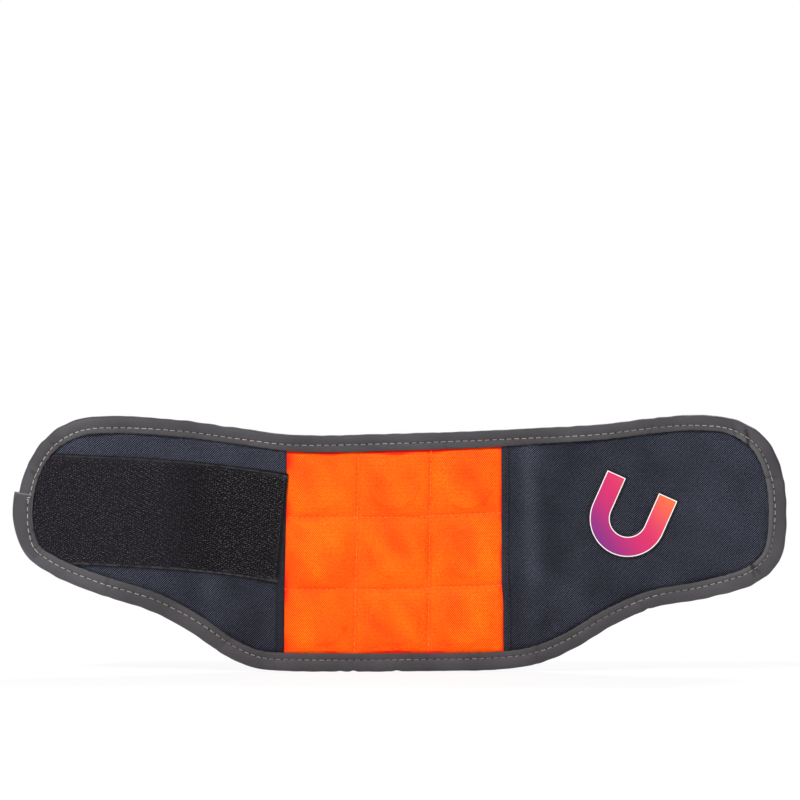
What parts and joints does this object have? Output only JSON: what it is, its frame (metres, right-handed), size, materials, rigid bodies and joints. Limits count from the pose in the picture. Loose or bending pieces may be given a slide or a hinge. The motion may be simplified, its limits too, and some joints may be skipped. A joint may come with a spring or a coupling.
{
  "type": "magnetic wristband",
  "caption": "Soft wrist cuff with disc magnets in a quilted panel for holding screws and nails, closed by a hook wing and a loop wing.",
  "frame": {"origin": "middle of the magnet panel, on the lining face that lies against the wrist", "axes": "+X along the band towards the loop wing, +Y out of the lining towards the wrist, +Z across the band, up when it stands on its lower edge"},
  "size_m": [0.3501, 0.0087, 0.1166],
  "materials": {
    "air_mesh": "black knitted spacer mesh with open holes",
    "navy_fabric": "dark navy woven polyester twill, matt",
    "orange_fabric": "bright orange woven polyester, quilted",
    "nickel_magnet": "nickel-plated disc magnet",
    "binding_tape": "dark grey woven binding tape, folded and stitched with pale thread",
    "hook_tape": "black nylon hook tape",
    "loop_tape": "black brushed nylon loop tape",
    "label_cloth": "black satin label, blank",
    "emblem_rubber": "soft moulded emblem shading from magenta to orange, black rim"
  },
  "bodies": {
    "hook_wing_tip": {"lining_hook_wing_tip": "air_mesh", "fabric_hook_wing_tip": "navy_fabric", "binding_hook_wing_tip": "binding_tape", "binding_lap": "binding_tape", "hook_tape_hook_wing_tip": "hook_tape", "care_label": "label_cloth"},
    "hook_wing_middle": {"lining_hook_wing_middle": "air_mesh", "fabric_hook_wing_middle": "navy_fabric", "binding_top_hook_wing_middle": "binding_tape", "binding_bottom_hook_wing_middle": "binding_tape", "hook_tape_hook_wing_middle": "hook_tape"},
    "hook_wing_root": {"lining_hook_wing_root": "air_mesh", "fabric_hook_wing_root": "navy_fabric", "binding_top_hook_wing_root": "binding_tape", "binding_bottom_hook_wing_root": "binding_tape", "hook_tape_hook_wing_root": "hook_tape"},
    "panel_left": {"lining_panel_left": "air_mesh", "fabric_panel_left": "orange_fabric", "magnet_panel_left_bottom": "nickel_magnet", "magnet_panel_left_middle": "nickel_magnet", "magnet_panel_left_top": "nickel_magnet", "binding_top_panel_left": "binding_tape", "binding_bottom_panel_left": "binding_tape"},
    "panel_centre": {"lining_panel_centre": "air_mesh", "fabric_panel_centre": "orange_fabric", "magnet_panel_centre_bottom": "nickel_magnet", "magnet_panel_centre_middle": "nickel_magnet", "magnet_panel_centre_top": "nickel_magnet", "binding_top_panel_centre": "binding_tape", "binding_bottom_panel_centre": "binding_tape"},
    "panel_right": {"lining_panel_right": "air_mesh", "fabric_panel_right": "orange_fabric", "magnet_panel_right_bottom": "nickel_magnet", "magnet_panel_right_middle": "nickel_magnet", "magnet_panel_right_top": "nickel_magnet", "binding_top_panel_right": "binding_tape", "binding_bottom_panel_right": "binding_tape"},
    "loop_wing_root": {"lining_loop_wing_root": "air_mesh", "fabric_loop_wing_root": "navy_fabric", "binding_top_loop_wing_root": "binding_tape", "binding_bottom_loop_wing_root": "binding_tape", "loop_tape_loop_wing_root": "loop_tape"},
    "loop_wing_middle": {"lining_loop_wing_middle": "air_mesh", "fabric_loop_wing_middle": "navy_fabric", "binding_top_loop_wing_middle": "binding_tape", "binding_bottom_loop_wing_middle": "binding_tape", "loop_tape_loop_wing_middle": "loop_tape", "emblem": "emblem_rubber"},
    "loop_wing_tip": {"lining_loop_wing_tip": "air_mesh", "fabric_loop_wing_tip": "navy_fabric", "binding_loop_wing_tip": "binding_tape", "loop_tape_loop_wing_tip": "loop_tape"}
  },
  "joints": [
    {"name": "hook_wing_wrap", "type": "hinge", "parent": "panel_left", "child": "hook_wing_root", "pos_m": [-0.04925, 0, 0], "axis": [0, 0, -1], "range_deg": [0, 71.5]},
    {"name": "panel_left_bend", "type": "hinge", "parent": "panel_centre", "child": "panel_left", "pos_m": [-0.01642, 0, 0], "axis": [0, 0, -1], "range_deg": [0, 52]},
    {"name": "hook_wing_middle_bend", "type": "hinge", "parent": "hook_wing_root", "child": "hook_wing_middle", "pos_m": [-0.10127, 0, 0], "axis": [0, 0, -1], "range_deg": [0, 76.5]},
    {"name": "hook_wing_tip_bend", "type": "hinge", "parent": "hook_wing_middle", "child": "hook_wing_tip", "pos_m": [-0.13776, 0, 0], "axis": [0, 0, -1], "range_deg": [0, 63.5]},
    {"name": "loop_wing_wrap", "type": "hinge", "parent": "panel_right", "child": "loop_wing_root", "pos_m": [0.04925, 0, 0], "axis": [0, 0, 1], "range_deg": [0, 47.5]},
    {"name": "panel_right_bend", "type": "hinge", "parent": "panel_centre", "child": "panel_right", "pos_m": [0.01642, 0, 0], "axis": [0, 0, 1], "range_deg": [0, 46.5]},
    {"name": "loop_wing_middle_bend", "type": "hinge", "parent": "loop_wing_root", "child": "loop_wing_middle", "pos_m": [0.08625, 0.0018, 0], "axis": [0, 0, 1], "range_deg": [0, 64]},
    {"name": "loop_wing_tip_bend", "type": "hinge", "parent": "loop_wing_middle", "child": "loop_wing_tip", "pos_m": [0.13425, 0.0018, 0], "axis": [0, 0, 1], "range_deg": [0, 76]}
  ],
  "couplings": [
    {"joint": "panel_left_bend", "follows": "hook_wing_wrap", "ratio": 0.7272},
    {"joint": "hook_wing_middle_bend", "follows": "hook_wing_wrap", "ratio": 1.0699},
    {"joint": "hook_wing_tip_bend", "follows": "hook_wing_wrap", "ratio": 0.8881},
    {"joint": "panel_right_bend", "follows": "loop_wing_wrap", "ratio": 0.9789},
    {"joint": "loop_wing_middle_bend", "follows": "loop_wing_wrap", "ratio": 1.3473},
    {"joint": "loop_wing_tip_bend", "follows": "loop_wing_wrap", "ratio": 1.6}
  ]
}
